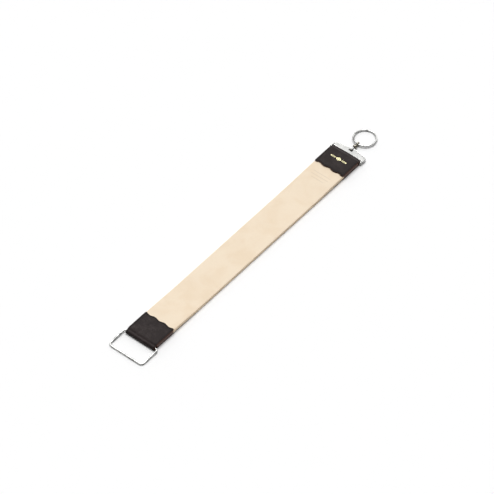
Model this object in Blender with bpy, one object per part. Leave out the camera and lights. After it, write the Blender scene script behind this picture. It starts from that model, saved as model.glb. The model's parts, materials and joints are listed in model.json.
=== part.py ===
"""Hanging leather strop with a wire handle, a swivel hanger and a ring.

Run with: blender --background --python part.py

Metres, +Z up. The strap runs along Y and its width along X, with the handle at -Y and the ring at +Y.
The origin lies on the resting surface, below the middle of the whole object.
"""

import math

import bmesh
import bpy
from mathutils import Matrix, Vector

MM = 0.001

# Strap and leather caps
STRAP_WIDTH = 50.0 * MM
STRAP_THICKNESS = 5.0 * MM
STRAP_EDGE_ROUND = 0.7 * MM
LENGTH_OVER_CAPS = 448.0 * MM
CAP_LENGTH = 42.2 * MM
CAP_LEATHER = 1.3 * MM
CAP_WAVE_DEPTH = 0.9 * MM
CAP_WAVE_COUNT = 3
CAP_EDGE_FLAT = 4.0 * MM
STRAP_END_SETBACK = 7.5 * MM
DROP_RUN = 70.0 * MM

# Wire handle
WIRE_RADIUS = 1.4 * MM
BAR_CLEARANCE = 0.5 * MM
HANDLE_WIDTH = 58.0 * MM
HANDLE_REACH = 29.3 * MM
HANDLE_GRIP_CORNER = 4.8 * MM
HANDLE_BAR_CORNER = 3.4 * MM

# Hanger plate and its pin
HANGER_HALF_WIDTH = 26.6 * MM
HANGER_BEAD_RADIUS = 1.2 * MM
HANGER_SHOULDER_ROUND = 4.5 * MM
HANGER_SHOULDER_REACH = 6.4 * MM
HANGER_NECK_REACH = 11.2 * MM
HANGER_NECK_HALF_WIDTH = 4.5 * MM
WEB_THICKNESS = 1.0 * MM
WEB_START = 0.6 * MM
WINDOW_HALF_WIDTH = 3.4 * MM
WINDOW_START = 5.2 * MM
EAR_RADIUS = 3.0 * MM
EAR_THICKNESS = 1.2 * MM
EAR_SETBACK = 0.1 * MM
PIN_HEAD_RADIUS = 2.0 * MM
PIN_HEAD_THICKNESS = 0.7 * MM

# Swivel and ring
BOSS_RADIUS = 2.3 * MM
BOSS_LENGTH = 4.0 * MM
SHANK_RADIUS = 1.2 * MM
WASHER_RADIUS = 2.4 * MM
WASHER_THICKNESS = 0.8 * MM
SHANK_HEAD_RADIUS = 2.1 * MM
SHANK_HEAD_THICKNESS = 0.9 * MM
SHANK_HEAD_CHAMFER = 0.5 * MM
BALL_RADIUS = 3.1 * MM
BALL_REACH = 16.4 * MM
BALL_TO_EYE = 6.4 * MM
SWIVEL_NECK_RADIUS = 1.6 * MM
EYE_HOLE_RADIUS = 1.8 * MM
EYE_THICKNESS = 2.4 * MM
RING_RADIUS = 16.2 * MM

# Clearance between pieces that touch, and how finely round shapes are cut
TOUCH_GAP = 0.3 * MM
RUN_OUT = 1.0 * MM
WIRE_BEVEL_RESOLUTION = 4
ROUND_SIDES = 24
CORNER_STEPS = 6
GRIP_STEPS = 8
FOLD_STEPS = 12
BALL_STEPS = 10
RING_STEPS = 48
EDGE_STEPS = 3
DROP_STEPS = 12
RAMP_STEPS = 6
CAP_COLUMNS = 24
SHARP_ANGLE = math.radians(35)

# Worked out from the dimensions above
ROLL_RADIUS = WIRE_RADIUS + BAR_CLEARANCE + CAP_LEATHER
BAR_HEIGHT = ROLL_RADIUS
STRAP_LIFT = CAP_LEATHER + TOUCH_GAP
CAP_HEIGHT = STRAP_LIFT + STRAP_THICKNESS + TOUCH_GAP + CAP_LEATHER
BAR_DROP = BAR_HEIGHT - WIRE_RADIUS

HANDLE_RUN = HANDLE_REACH + ROLL_RADIUS
HANDLE_LENGTH = math.hypot(HANDLE_RUN, BAR_DROP)
HANDLE_TILT = math.atan2(BAR_DROP, HANDLE_RUN)
EYE_REACH = BALL_REACH + BALL_TO_EYE
RING_TILT = math.asin(BAR_DROP / (2 * RING_RADIUS))
RING_RUN = 2 * RING_RADIUS * math.cos(RING_TILT)

FRONT_REACH = LENGTH_OVER_CAPS / 2 + HANDLE_REACH + WIRE_RADIUS
BACK_REACH = LENGTH_OVER_CAPS / 2 + EYE_REACH + RING_RUN + WIRE_RADIUS
STRAP_MIDDLE_Y = (FRONT_REACH - BACK_REACH) / 2
HANDLE_FOLD_Y = STRAP_MIDDLE_Y - LENGTH_OVER_CAPS / 2
HANGER_FOLD_Y = STRAP_MIDDLE_Y + LENGTH_OVER_CAPS / 2
HANDLE_BAR_Y = HANDLE_FOLD_Y + ROLL_RADIUS
HANGER_BAR_Y = HANGER_FOLD_Y - ROLL_RADIUS

# Distances along the hanger, measured from its bar towards the ring
BALL_Y = ROLL_RADIUS + BALL_REACH
EYE_Y = ROLL_RADIUS + EYE_REACH
BOSS_END_Y = BALL_Y - BALL_RADIUS - TOUCH_GAP
BOSS_START_Y = BOSS_END_Y - BOSS_LENGTH
WASHER_START_Y = BOSS_START_Y - TOUCH_GAP - WASHER_THICKNESS
SHANK_HEAD_END_Y = WASHER_START_Y - TOUCH_GAP
SHANK_HEAD_START_Y = SHANK_HEAD_END_Y - SHANK_HEAD_THICKNESS

ALONG_X = Matrix.Rotation(math.radians(90), 4, "Y")
ALONG_Y = Matrix.Rotation(math.radians(-90), 4, "X")


def clear_scene():
    for old in list(bpy.data.objects):
        bpy.data.objects.remove(old, do_unlink=True)


def make_material(name, colour, roughness, metallic):
    material = bpy.data.materials.new(name)
    material.use_nodes = True
    shader = material.node_tree.nodes["Principled BSDF"]
    shader.inputs["Base Color"].default_value = (*colour, 1.0)
    shader.inputs["Roughness"].default_value = roughness
    shader.inputs["Metallic"].default_value = metallic
    return material


def add_object(name, data, material, parent=None):
    piece = bpy.data.objects.new(name, data)
    bpy.context.collection.objects.link(piece)
    if material is not None:
        data.materials.append(material)
    piece.parent = parent
    return piece


def add_pivot(name, location, parent=None):
    """An empty on a joint's axis, which carries the pieces that move with it."""
    pivot = bpy.data.objects.new(name, None)
    bpy.context.collection.objects.link(pivot)
    pivot.parent = parent
    pivot.location = location
    return pivot


def mesh_from_bmesh(name, shape):
    bmesh.ops.recalc_face_normals(shape, faces=shape.faces)
    mesh = bpy.data.meshes.new(name)
    shape.to_mesh(mesh)
    shape.free()
    mesh.shade_smooth()
    mesh.set_sharp_from_angle(angle=SHARP_ANGLE)
    return mesh


def bridge_rows(shape, rows, closed):
    """Joins each row of vertices to the next with quads; closed rows wrap round."""
    for row, following in zip(rows, rows[1:]):
        count = len(row)
        for i in range(count if closed else count - 1):
            j = (i + 1) % count
            shape.faces.new((row[i], row[j], following[j], following[i]))


def arc_points(centre, radius, start, end, steps):
    """Points on an arc in the XY plane, angles in degrees, both ends included."""
    angles = [math.radians(start + (end - start) * i / steps) for i in range(steps + 1)]
    return [Vector((centre[0] + radius * math.cos(a), centre[1] + radius * math.sin(a), 0.0)) for a in angles]


def ease(t):
    """Smooth step from 0 to 1."""
    t = min(max(t, 0.0), 1.0)
    return t * t * (3 - 2 * t)


def turned_mesh(name, profile, axis_matrix):
    """A closed (radius, height) profile spun round the local Z axis, then turned onto its own axis."""
    shape = bmesh.new()
    points = [shape.verts.new((radius, 0.0, height)) for radius, height in profile]
    edges = [shape.edges.new((a, b)) for a, b in zip(points, points[1:])]
    if profile[0][0] > 0.0:
        edges.append(shape.edges.new((points[-1], points[0])))
    bmesh.ops.spin(
        shape,
        geom=points + edges,
        cent=(0, 0, 0),
        axis=(0, 0, 1),
        angle=math.tau,
        steps=ROUND_SIDES,
        use_merge=True,
    )
    bmesh.ops.remove_doubles(shape, verts=shape.verts, dist=1e-6)
    bmesh.ops.transform(shape, matrix=axis_matrix, verts=shape.verts)
    return mesh_from_bmesh(name, shape)


def rod_profile(radius, start, end):
    return [(0.0, start), (radius, start), (radius, end), (0.0, end)]


def wire_curve(name, points, radius, closed):
    """Round wire bent along a line of points."""
    curve = bpy.data.curves.new(name, "CURVE")
    curve.dimensions = "3D"
    curve.bevel_depth = radius
    curve.bevel_resolution = WIRE_BEVEL_RESOLUTION
    curve.use_fill_caps = True
    curve.render_resolution_u = 0
    spline = curve.splines.new("POLY")
    spline.points.add(len(points) - 1)
    for target, point in zip(spline.points, points):
        target.co = (*point, 1.0)
    spline.use_cyclic_u = closed
    return curve


def join_or_cut(piece, tool_mesh, operation):
    """Adds a Boolean that joins a hidden shape to a piece, or cuts it away."""
    tool = add_object(piece.name + "_" + tool_mesh.name, tool_mesh, None, piece.parent)
    tool.hide_render = True
    tool.display_type = "WIRE"
    boolean = piece.modifiers.new(tool_mesh.name, "BOOLEAN")
    boolean.operation = operation
    boolean.solver = "EXACT"
    boolean.object = tool


def strap_bottom(y):
    """Height of the strap's underside: held up by the caps at both ends, flat on the surface between."""
    from_cap = LENGTH_OVER_CAPS / 2 - CAP_LENGTH - abs(y - STRAP_MIDDLE_Y)
    return STRAP_LIFT * ease(1 - from_cap / DROP_RUN)


def strap_section():
    """The strap's cross-section, a rectangle with rounded corners, as (x, height) points."""
    half = STRAP_WIDTH / 2 - STRAP_EDGE_ROUND
    top = STRAP_THICKNESS - STRAP_EDGE_ROUND
    corners = ((half, top, 0), (-half, top, 90), (-half, STRAP_EDGE_ROUND, 180), (half, STRAP_EDGE_ROUND, 270))
    section = []
    for x, height, start in corners:
        section += arc_points((x, height), STRAP_EDGE_ROUND, start, start + 90, EDGE_STEPS)
    return section


def make_strap(material):
    """The honing strap, a thick leather strip lofted through its cross-sections."""
    end = LENGTH_OVER_CAPS / 2 - STRAP_END_SETBACK
    cap_edge = LENGTH_OVER_CAPS / 2 - CAP_LENGTH
    half_stations = [end] + [cap_edge - DROP_RUN * i / DROP_STEPS for i in range(DROP_STEPS + 1)]
    stations = [-s for s in half_stations] + half_stations[::-1]
    shape = bmesh.new()
    rows = []
    for station in stations:
        y = STRAP_MIDDLE_Y + station
        bottom = strap_bottom(y)
        rows.append([shape.verts.new((p.x, y, bottom + p.y)) for p in strap_section()])
    bridge_rows(shape, rows, closed=True)
    shape.faces.new(rows[0])
    shape.faces.new(rows[-1])
    add_object("honing_strap", mesh_from_bmesh("honing_strap", shape), material)


def cap_edge_reach(x):
    """Distance from the fold to the cap's wavy inner edge."""
    return CAP_LENGTH - CAP_WAVE_DEPTH * math.cos(math.tau * CAP_WAVE_COUNT * x / STRAP_WIDTH)


def cap_path(x):
    """Middle line of the cap leather at one place across its width, as (distance from the fold, height).

    It runs from the inner edge along the top, down over the strap's end, round the bar and back below.
    """
    reach = cap_edge_reach(x)
    top = CAP_HEIGHT - CAP_LEATHER / 2
    roll = ROLL_RADIUS - CAP_LEATHER / 2
    roll_top = BAR_HEIGHT + roll
    ramp_start = STRAP_END_SETBACK + TOUCH_GAP
    path = [(reach, top), (reach - CAP_EDGE_FLAT, top)]
    for i in range(RAMP_STEPS):
        t = i / RAMP_STEPS
        distance = ramp_start + (ROLL_RADIUS - ramp_start) * t
        path.append((distance, top + (roll_top - top) * ease(t)))
    for point in arc_points((ROLL_RADIUS, BAR_HEIGHT), roll, 90, 270, FOLD_STEPS):
        path.append((point.x, point.y))
    path += [(ramp_start, CAP_LEATHER / 2), (reach - CAP_EDGE_FLAT, CAP_LEATHER / 2), (reach, CAP_LEATHER / 2)]
    return path


def make_cap(name, fold_y, inward, material):
    """A leather cap folded round a bar; inward is +1 or -1, the way from its fold to the strap."""
    shape = bmesh.new()
    rows = []
    for i in range(CAP_COLUMNS + 1):
        x = STRAP_WIDTH * (i / CAP_COLUMNS - 0.5)
        rows.append([shape.verts.new((x, fold_y + inward * distance, z)) for distance, z in cap_path(x)])
    bridge_rows(shape, rows, closed=False)
    cap = add_object(name, mesh_from_bmesh(name, shape), material)
    wall = cap.modifiers.new("leather_thickness", "SOLIDIFY")
    wall.thickness = CAP_LEATHER
    wall.offset = 0.0
    wall.use_even_offset = True


def handle_outline():
    """Centre line of the handle wire, with its bar on the X axis and its grip at -Y."""
    half = HANDLE_WIDTH / 2
    near = -HANDLE_LENGTH + HANDLE_GRIP_CORNER
    far = -HANDLE_BAR_CORNER
    bar_x = half - HANDLE_BAR_CORNER
    grip_x = half - HANDLE_GRIP_CORNER
    outline = arc_points((bar_x, far), HANDLE_BAR_CORNER, 0, 90, CORNER_STEPS)
    outline += arc_points((-bar_x, far), HANDLE_BAR_CORNER, 90, 180, CORNER_STEPS)
    outline += arc_points((-grip_x, near), HANDLE_GRIP_CORNER, 180, 270, GRIP_STEPS)
    outline += arc_points((grip_x, near), HANDLE_GRIP_CORNER, 270, 360, GRIP_STEPS)
    return outline


def make_handle(material):
    """The wire handle, whose bar turns in the fold and whose grip rests on the surface."""
    pivot = add_pivot("handle_pivot", (0.0, HANDLE_BAR_Y, BAR_HEIGHT))
    pivot.rotation_euler.x = HANDLE_TILT
    add_object("handle_loop", wire_curve("handle_loop", handle_outline(), WIRE_RADIUS, True), material, pivot)


def hanger_outline():
    """Centre line of the hanger's bead, from one ear over the neck to the other, around its bar."""
    centre_x = HANGER_HALF_WIDTH - HANGER_SHOULDER_ROUND
    centre_y = ROLL_RADIUS + HANGER_SHOULDER_REACH - HANGER_SHOULDER_ROUND
    neck = Vector((HANGER_NECK_HALF_WIDTH, ROLL_RADIUS + HANGER_NECK_REACH, 0.0))
    slope = math.degrees(math.atan2(HANGER_NECK_REACH - HANGER_SHOULDER_REACH, centre_x - neck.x))
    half = [Vector((HANGER_HALF_WIDTH, PIN_HEAD_RADIUS + TOUCH_GAP, 0.0))]
    half += arc_points((centre_x, centre_y), HANGER_SHOULDER_ROUND, 0, 90 - slope, CORNER_STEPS)
    half.append(neck)
    return half + [Vector((-p.x, p.y, 0.0)) for p in half[::-1]]


def web_mesh():
    """The flat web inside the bead, with a window for the swivel's washer and head."""
    start_y = ROLL_RADIUS + WEB_START
    rim = [p for p in hanger_outline() if p.y > start_y]
    corners = [Vector((HANGER_HALF_WIDTH, start_y, 0.0))] + rim + [Vector((-HANGER_HALF_WIDTH, start_y, 0.0))]
    shape = bmesh.new()
    lower = shape.faces.new([shape.verts.new((p.x, p.y, -WEB_THICKNESS / 2)) for p in corners])
    raised = bmesh.ops.extrude_face_region(shape, geom=[lower])["geom"]
    upper = [v for v in raised if isinstance(v, bmesh.types.BMVert)]
    bmesh.ops.translate(shape, vec=(0, 0, WEB_THICKNESS), verts=upper)
    return mesh_from_bmesh("web", shape)


def box_mesh(name, low, high):
    shape = bmesh.new()
    bmesh.ops.create_cube(shape, size=1.0)
    size = Vector(high) - Vector(low)
    middle = (Vector(high) + Vector(low)) / 2
    bmesh.ops.scale(shape, vec=size, verts=shape.verts)
    bmesh.ops.translate(shape, vec=middle, verts=shape.verts)
    return mesh_from_bmesh(name, shape)


def bead_mesh():
    """The hanger's rolled bead as a mesh, so that a Boolean can join it."""
    curve = wire_curve("bead", hanger_outline(), HANGER_BEAD_RADIUS, False)
    guide = add_object("bead_guide", curve, None)
    depsgraph = bpy.context.evaluated_depsgraph_get()
    mesh = bpy.data.meshes.new_from_object(guide.evaluated_get(depsgraph))
    mesh.name = "bead"
    bpy.data.objects.remove(guide, do_unlink=True)
    return mesh


def make_hanger(material, pin_material):
    """The pressed hanger plate and the pin that holds it in the leather fold."""
    pivot = add_pivot("hanger_pivot", (0.0, HANGER_BAR_Y, BAR_HEIGHT))
    plate = add_object("hanger_plate", bead_mesh(), material, pivot)
    join_or_cut(plate, web_mesh(), "UNION")
    ear_start = HANGER_HALF_WIDTH - HANGER_BEAD_RADIUS + EAR_SETBACK
    ear_end = ear_start + EAR_THICKNESS
    for side in (-1, 1):
        low, high = sorted((side * ear_start, side * ear_end))
        name = "ear_right" if side > 0 else "ear_left"
        join_or_cut(plate, turned_mesh(name, rod_profile(EAR_RADIUS, low, high), ALONG_X), "UNION")
    boss = turned_mesh("boss", rod_profile(BOSS_RADIUS, BOSS_START_Y, BOSS_END_Y), ALONG_Y)
    join_or_cut(plate, boss, "UNION")
    window_low = (-WINDOW_HALF_WIDTH, ROLL_RADIUS + WINDOW_START, -WEB_THICKNESS)
    window_high = (WINDOW_HALF_WIDTH, BOSS_START_Y, WEB_THICKNESS)
    join_or_cut(plate, box_mesh("window", window_low, window_high), "DIFFERENCE")
    bore = rod_profile(SHANK_RADIUS + TOUCH_GAP, BOSS_START_Y - RUN_OUT, BOSS_END_Y + RUN_OUT)
    join_or_cut(plate, turned_mesh("shank_bore", bore, ALONG_Y), "DIFFERENCE")
    reach = HANGER_HALF_WIDTH + HANGER_BEAD_RADIUS + RUN_OUT
    pin_bore = rod_profile(WIRE_RADIUS + TOUCH_GAP, -reach, reach)
    join_or_cut(plate, turned_mesh("pin_bore", pin_bore, ALONG_X), "DIFFERENCE")

    head_start = ear_end + TOUCH_GAP
    head_end = head_start + PIN_HEAD_THICKNESS
    profile = [(0.0, -head_end), (PIN_HEAD_RADIUS, -head_end), (PIN_HEAD_RADIUS, -head_start)]
    profile += [(WIRE_RADIUS, -head_start), (WIRE_RADIUS, head_start)]
    profile += [(PIN_HEAD_RADIUS, head_start), (PIN_HEAD_RADIUS, head_end), (0.0, head_end)]
    add_object("hanger_pin", turned_mesh("hanger_pin", profile, ALONG_X), pin_material, pivot)
    return pivot


def make_washer(pivot, material):
    """The washer between the plate's boss and the peened head of the swivel's shank."""
    hole = SHANK_RADIUS + TOUCH_GAP
    end = WASHER_START_Y + WASHER_THICKNESS
    profile = [(hole, WASHER_START_Y), (WASHER_RADIUS, WASHER_START_Y), (WASHER_RADIUS, end), (hole, end)]
    add_object("swivel_washer", turned_mesh("swivel_washer", profile, ALONG_Y), material, pivot)


def make_swivel(hanger_pivot, material):
    """The swivel: a peened head, a shank through the boss, a ball and an eye for the ring."""
    pivot = add_pivot("swivel_pivot", (0.0, 0.0, 0.0), hanger_pivot)
    profile = [(0.0, SHANK_HEAD_START_Y), (SHANK_HEAD_RADIUS - SHANK_HEAD_CHAMFER, SHANK_HEAD_START_Y)]
    profile.append((SHANK_HEAD_RADIUS, SHANK_HEAD_START_Y + SHANK_HEAD_CHAMFER))
    profile.append((SHANK_HEAD_RADIUS, SHANK_HEAD_END_Y))
    profile.append((SHANK_RADIUS, SHANK_HEAD_END_Y))
    near_neck = math.asin(SHANK_RADIUS / BALL_RADIUS)
    far_neck = math.pi - math.asin(SWIVEL_NECK_RADIUS / BALL_RADIUS)
    for i in range(BALL_STEPS + 1):
        angle = near_neck + (far_neck - near_neck) * i / BALL_STEPS
        profile.append((BALL_RADIUS * math.sin(angle), BALL_Y - BALL_RADIUS * math.cos(angle)))
    neck_end = EYE_Y - (BAR_HEIGHT + EYE_HOLE_RADIUS) / 2
    profile += [(SWIVEL_NECK_RADIUS, neck_end), (0.0, neck_end)]
    swivel = add_object("swivel_eye", turned_mesh("swivel_eye", profile, ALONG_Y), material, pivot)
    at_eye = Matrix.Translation((0.0, EYE_Y, 0.0)) @ ALONG_X
    half = EYE_THICKNESS / 2
    eye = turned_mesh("eye", rod_profile(BAR_HEIGHT, -half, half), at_eye)
    join_or_cut(swivel, eye, "UNION")
    hole = turned_mesh("eye_hole", rod_profile(EYE_HOLE_RADIUS, -half - RUN_OUT, half + RUN_OUT), at_eye)
    join_or_cut(swivel, hole, "DIFFERENCE")
    return pivot


def make_ring(swivel_pivot, material):
    """The hanging ring, threaded through the eye and leaning down to the surface."""
    pivot = add_pivot("ring_pivot", (0.0, EYE_Y, 0.0), swivel_pivot)
    pivot.rotation_euler.x = -RING_TILT
    points = arc_points((0.0, RING_RADIUS), RING_RADIUS, -90, 270, RING_STEPS)[:-1]
    add_object("hang_ring", wire_curve("hang_ring", points, WIRE_RADIUS, True), material, pivot)


def main():
    clear_scene()
    tan_leather = make_material("tan_leather", (0.80, 0.64, 0.46), 0.55, 0.0)
    dark_leather = make_material("dark_leather", (0.035, 0.026, 0.024), 0.42, 0.0)
    chrome = make_material("chrome", (0.75, 0.75, 0.73), 0.12, 1.0)
    steel = make_material("steel", (0.55, 0.55, 0.54), 0.3, 1.0)

    make_strap(tan_leather)
    make_cap("handle_cap", HANDLE_FOLD_Y, 1, dark_leather)
    make_cap("hanger_cap", HANGER_FOLD_Y, -1, dark_leather)
    make_handle(chrome)
    hanger_pivot = make_hanger(chrome, steel)
    make_washer(hanger_pivot, steel)
    swivel_pivot = make_swivel(hanger_pivot, chrome)
    make_ring(swivel_pivot, chrome)


main()
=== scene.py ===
"""Hanging leather strop: the finished surfaces and materials, built round the fixed frame.

Metres, +Z up. The strap runs along Y, with the wire handle at -Y and the hanging ring at +Y.
Run with: blender --background --python scene.py
"""

import json
import math

import bmesh
import bpy
import numpy as np
from mathutils import Matrix, Vector


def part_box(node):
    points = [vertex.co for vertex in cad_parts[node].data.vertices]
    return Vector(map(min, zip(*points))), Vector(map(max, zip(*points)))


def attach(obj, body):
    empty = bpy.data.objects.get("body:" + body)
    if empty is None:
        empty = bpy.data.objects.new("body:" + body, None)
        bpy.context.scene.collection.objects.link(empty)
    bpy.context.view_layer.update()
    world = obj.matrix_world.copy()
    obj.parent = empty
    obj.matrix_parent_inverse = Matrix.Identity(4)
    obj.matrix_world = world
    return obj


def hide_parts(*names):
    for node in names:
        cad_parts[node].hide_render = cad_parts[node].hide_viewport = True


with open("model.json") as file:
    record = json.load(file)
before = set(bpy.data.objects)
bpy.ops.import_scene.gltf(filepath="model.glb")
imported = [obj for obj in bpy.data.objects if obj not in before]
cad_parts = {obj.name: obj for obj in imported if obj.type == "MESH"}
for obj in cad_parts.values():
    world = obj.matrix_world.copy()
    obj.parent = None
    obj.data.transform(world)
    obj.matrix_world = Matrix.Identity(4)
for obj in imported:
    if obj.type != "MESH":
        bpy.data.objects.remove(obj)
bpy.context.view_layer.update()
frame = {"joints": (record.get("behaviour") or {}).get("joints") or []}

bl_info = {
    "name": "Leather strop",
    "version": (1, 0, 0),
    "blender": (4, 5, 0),
    "location": "3D View > Sidebar > Strop",
    "description": "Builds the surfaces and finishes of a hanging leather strop",
    "category": "Mesh",
}

MM = 0.001
SHARP_ANGLE = math.radians(40)
MERGE_DISTANCE = 1e-7
WELD_DISTANCE = 2e-6
ARC_STEPS = 14
RIM_STEPS = 6
WIRE_SIDES = 40
TURNED_SIDES = 72

# The swivel, the pin and the details of the plate and caps
CLEARANCE = 0.3 * MM
PIN_RADIUS = 1.4 * MM
SHANK_RADIUS = 1.2 * MM
SHANK_HEAD_RADIUS = 2.1 * MM
NECK_RADIUS = 1.6 * MM
EYE_HOLE_RADIUS = 1.8 * MM
EYE_HALF_WIDTH = 1.2 * MM
WASHER_HOLE_RADIUS = 1.5 * MM
BOSS_RADIUS = 2.3 * MM
BOSS_LENGTH = 4.0 * MM
EAR_RADIUS = 3.0 * MM
EAR_THICKNESS = 1.2 * MM
WINDOW_DEPTH = 3.8 * MM
WINDOW_HALF_HEIGHT = 3.5 * MM
WEB_BLEND = 0.35 * MM
PINCH_DEPTH = 0.07 * MM

# Each blind rule's distance from the cap's inner edge, and its length
RULES = ((14.0 * MM, 31.0 * MM), (19.5 * MM, 31.0 * MM), (25.0 * MM, 22.0 * MM))

# Studio light: the dark room's strength, then each soft light's direction, the cosines where it starts and
# is full, and its strength
ROOM_STRENGTH = 0.04
SOFT_LIGHTS = (
    ((-0.42, 0.62, 0.66), 0.50, 0.80, 1.15),
    ((-0.15, 0.12, 0.98), 0.88, 0.96, 4.60),
)

FLOOR_HALF_WIDTH = 4.0
CAMERA_AZIMUTH = math.radians(39.42)
CAMERA_ELEVATION = math.radians(47.90)
CAMERA_DISTANCE = 6.0
CAMERA_TARGET = (0.0016, -0.0118, 0.0)
CAMERA_LENS = 319.6
CAMERA_SENSOR = 36.0


def joint_place(name):
    """A joint's point in the frame."""
    return np.array(next(joint["pos_m"] for joint in frame["joints"] if joint["name"] == name))


def node_box(name):
    """Lowest and highest corner of a node as arrays."""
    low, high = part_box(name)
    return np.array(low), np.array(high)


# Places and sizes that the frame fixes
STRAP_LOW, STRAP_HIGH = node_box("honing_strap")
HANDLE_CAP_LOW, HANDLE_CAP_HIGH = node_box("handle_cap")
HANGER_CAP_LOW, HANGER_CAP_HIGH = node_box("hanger_cap")
HANDLE_LOW, HANDLE_HIGH = node_box("handle_loop")
PLATE_LOW, PLATE_HIGH = node_box("hanger_plate")
PIN_LOW, PIN_HIGH = node_box("hanger_pin")
WASHER_LOW, WASHER_HIGH = node_box("swivel_washer")
SWIVEL_LOW, SWIVEL_HIGH = node_box("swivel_eye")
RING_LOW, RING_HIGH = node_box("hang_ring")
HANDLE_BAR = joint_place("handle_swing")
HANGER_BAR = joint_place("hanger_tilt")
EYE_CENTRE = joint_place("ring_swing")

STRAP_MIDDLE_Y = (HANDLE_CAP_LOW[1] + HANGER_CAP_HIGH[1]) / 2
LENGTH_OVER_CAPS = HANGER_CAP_HIGH[1] - HANDLE_CAP_LOW[1]
STRAP_WIDTH = STRAP_HIGH[0] - STRAP_LOW[0]
CAP_WIDTH = HANDLE_CAP_HIGH[0] - HANDLE_CAP_LOW[0]
CAP_REACH = HANDLE_CAP_HIGH[1] - HANDLE_CAP_LOW[1]
CAP_HEIGHT = HANDLE_CAP_HIGH[2]
ROLL_RADIUS = HANDLE_BAR[2]
WIRE_RADIUS = HANDLE_HIGH[2] - HANDLE_BAR[2]
EYE_RADIUS = EYE_CENTRE[2]


def length_setting(name, description, millimetres):
    """A length that a maker can change."""
    return bpy.props.FloatProperty(
        name=name, description=description, default=millimetres * MM, unit="LENGTH"
    )


def colour_setting(name, description, default):
    """A colour that a maker can change."""
    return bpy.props.FloatVectorProperty(
        name=name, description=description, subtype="COLOR", default=default
    )


class StropSizes(bpy.types.PropertyGroup):
    """Sizes that a maker would change."""

    strap_thickness: length_setting("Strap thickness", "Thickness of the honing leather", 5.0)
    edge_round: length_setting("Edge rounding", "Radius of the strap's burnished edges", 0.9)
    drop_run: length_setting("Drop run", "Length over which the strap comes down from a cap", 70.0)
    ripple: length_setting("Ripple", "Height of the slow waves in the honing face", 0.07)
    rule_depth: length_setting("Rule depth", "Depth of the blind-tooled rules", 0.16)
    rule_width: length_setting("Rule width", "Width of a blind-tooled rule", 0.8)
    cap_leather: length_setting("Cap leather", "Thickness of the caps' leather", 1.3)
    wave_depth: length_setting("Wave depth", "Height of the waves of a cap's inner edge", 0.9)
    wave_count: bpy.props.IntProperty(name="Waves", description="Number of waves across a cap", default=3)
    crease_inset: length_setting("Crease inset", "Distance of the crease from a cap's inner edge", 2.1)
    crease_depth: length_setting("Crease depth", "Depth of the crease line", 0.28)
    grip_corner: length_setting("Grip corner", "Bend radius at the handle's grip", 4.8)
    bar_corner: length_setting("Bar corner", "Bend radius at the handle's bar", 3.4)
    bead_radius: length_setting("Bead radius", "Radius of the hanger's rolled bead", 1.2)
    web_thickness: length_setting("Web thickness", "Thickness of the hanger's flat web", 1.0)
    ball_radius: length_setting("Ball radius", "Radius of the swivel's ball", 3.1)


class StropColours(bpy.types.PropertyGroup):
    """Colours that a maker would change."""

    tan: colour_setting("Honing leather", "Pale vegetable-tanned leather", (0.76, 0.645, 0.50))
    tan_deep: colour_setting("Leather mottling", "Darker patches of the pale leather", (0.70, 0.56, 0.40))
    burnished: colour_setting("Burnished edge", "Side of the strap", (0.84, 0.66, 0.46))
    flesh: colour_setting("Flesh side", "Rough underside of the strap", (0.52, 0.39, 0.26))
    cap: colour_setting("Cap leather", "Dark grained leather", (0.019, 0.013, 0.0125))
    cap_worn: colour_setting("Worn cap leather", "Rubbed grain of the caps", (0.058, 0.045, 0.044))
    cap_edge: colour_setting("Cap edge", "Stained cut edges of the caps", (0.085, 0.035, 0.022))
    gold: colour_setting("Foil", "Gold foil of the ornament", (0.95, 0.88, 0.52))
    chrome: colour_setting("Chrome", "Bright plate on the handle, hanger and ring", (0.66, 0.66, 0.645))
    # Partly painted reflection: the swivel's darker plate colour also stands in for the dark surroundings
    # reflected in its ball.
    swivel: colour_setting("Swivel", "Darker plate of the swivel", (0.30, 0.28, 0.235))
    steel: colour_setting("Steel", "Plain plated pin and washer", (0.52, 0.52, 0.51))
    floor: colour_setting("Floor", "Pale surface below the strop", (0.855, 0.855, 0.855))


# ---------------------------------------------------------------- shapes


def unit(vectors):
    """Each vector divided by its length."""
    return vectors / np.linalg.norm(vectors, axis=-1, keepdims=True)


def ease(t):
    """Smooth step from 0 to 1: 3t^2 - 2t^3."""
    t = np.clip(t, 0.0, 1.0)
    return t * t * (3.0 - 2.0 * t)


def hill(distance, width):
    """1 at distance 0, falling away as exp(-(distance / width)^2)."""
    return np.exp(-((distance / width) ** 2))


def rimmed(length, rim, spacing):
    """Places from 0 to length, even in the middle, that crowd towards both ends as rim * (1 - cos(angle))."""
    crowd = rim * (1.0 - np.cos(np.linspace(0.0, math.pi / 2, RIM_STEPS)))
    middle = np.linspace(rim, length - rim, max(int((length - 2 * rim) / spacing), 2))[1:-1]
    return np.concatenate([crowd, middle, length - crowd[::-1]])


def round_over(distance, rim):
    """Share of full thickness at a distance from a rounded rim: a quarter circle, sqrt(1 - (1 - d/rim)^2)."""
    inside = np.clip(1.0 - distance / rim, 0.0, 1.0)
    return np.sqrt(1.0 - inside**2)


def rounded_line(corners, radii, closed=False):
    """A line through corners, each with a radius turned into an arc that touches both of its sides.

    With h half the inner angle, the arc starts radius / tan(h) from the corner, and its centre lies
    radius / sin(h) along the bisector.
    """
    corners = np.asarray(corners, float)
    parts = []
    for i, (here, radius) in enumerate(zip(corners, radii)):
        if radius == 0.0:
            parts.append(here[None])
            continue
        back = unit(corners[i - 1] - here)
        ahead = unit(corners[(i + 1) % len(corners)] - here)
        half = np.arccos(np.clip(back @ ahead, -1.0, 1.0)) / 2
        centre = here + unit(back + ahead) * radius / np.sin(half)
        start = here + back * radius / np.tan(half) - centre
        end = here + ahead * radius / np.tan(half) - centre
        turn = math.pi - 2 * half
        t = np.linspace(0.0, 1.0, ARC_STEPS)[:, None]
        parts.append(centre + (np.sin((1 - t) * turn) * start + np.sin(t * turn) * end) / np.sin(turn))
    line = np.concatenate(parts)
    return np.concatenate([line, line[:1]]) if closed else line


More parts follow.
